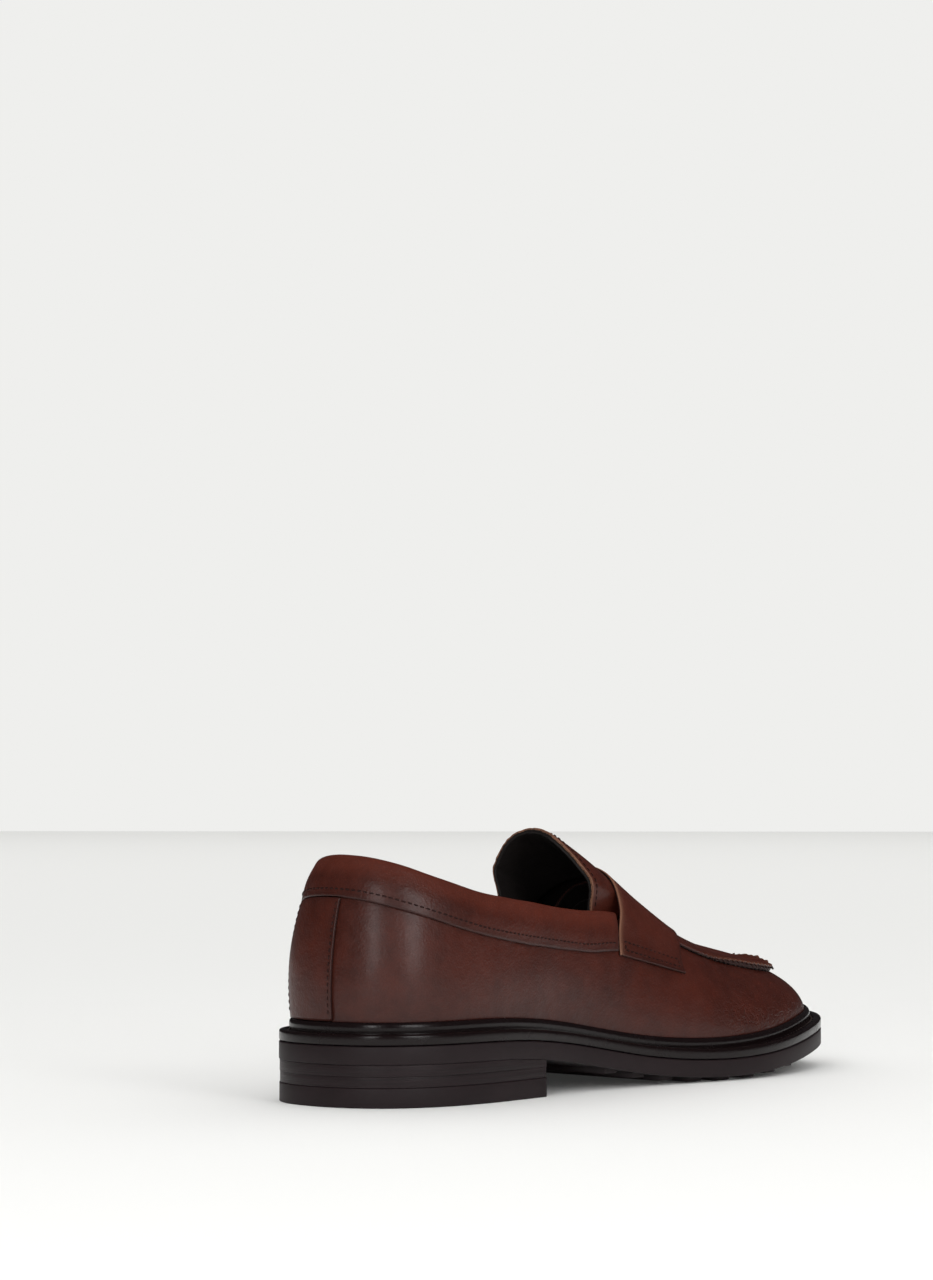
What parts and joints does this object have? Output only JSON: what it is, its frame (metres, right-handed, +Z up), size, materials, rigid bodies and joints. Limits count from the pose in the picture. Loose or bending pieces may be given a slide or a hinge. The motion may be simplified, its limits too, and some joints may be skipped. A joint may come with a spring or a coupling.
{
  "type": "penny loafer",
  "caption": "Right slip-on shoe with a moccasin plug, slotted saddle strap, raised tongue, padded collar, storm welt and stacked heel.",
  "frame": {"origin": "on the ground, under the middle of the shoe's outline", "axes": "+X to the outer side of the foot, +Y from the heel to the toe, +Z up"},
  "size_m": [0.11, 0.3, 0.1028],
  "materials": {
    "calf_leather": "satin",
    "lining_leather": "matt",
    "storm_welt": "gloss",
    "sole_rubber": "matt",
    "heel_stack": "satin",
    "fibre_board": "matt",
    "cork": "matt",
    "foam": "matt",
    "steel": "satin",
    "thread": "matt"
  },
  "bodies": {
    "shoe": {"vamp": "calf_leather", "plug": "calf_leather", "penny_strap": "calf_leather", "collar": "calf_leather", "collar_foam": "foam", "heel_strip": "calf_leather", "heel_counter": "fibre_board", "toe_puff": "fibre_board", "quarter_lining": "lining_leather", "vamp_lining": "lining_leather", "sock": "lining_leather", "heel_pad": "foam", "insole": "fibre_board", "shank": "steel", "cork_filler": "cork", "welt": "storm_welt", "outsole": "sole_rubber", "heel_lift_upper": "heel_stack", "heel_lift_lower": "heel_stack", "top_lift": "sole_rubber", "heel_nail_1": "steel", "heel_nail_2": "steel", "heel_nail_3": "steel", "heel_nail_4": "steel", "heel_nail_5": "steel", "welt_stitching": "thread", "plug_stitching": "thread", "collar_stitching": "thread", "heel_strip_stitching_outer": "thread", "heel_strip_stitching_inner": "thread", "strap_stitching_outer": "thread", "strap_stitching_inner": "thread"},
    "tongue": {"tongue": "calf_leather", "tongue_lining": "lining_leather", "tongue_stitching": "thread"}
  },
  "joints": [
    {"name": "tongue_lift", "type": "hinge", "parent": "shoe", "child": "tongue", "pos_m": [0, 0.003, 0.085], "axis": [-1, 0, 0], "range_deg": [0, 25], "stiffness_Nm_per_rad": 0.07}
  ]
}
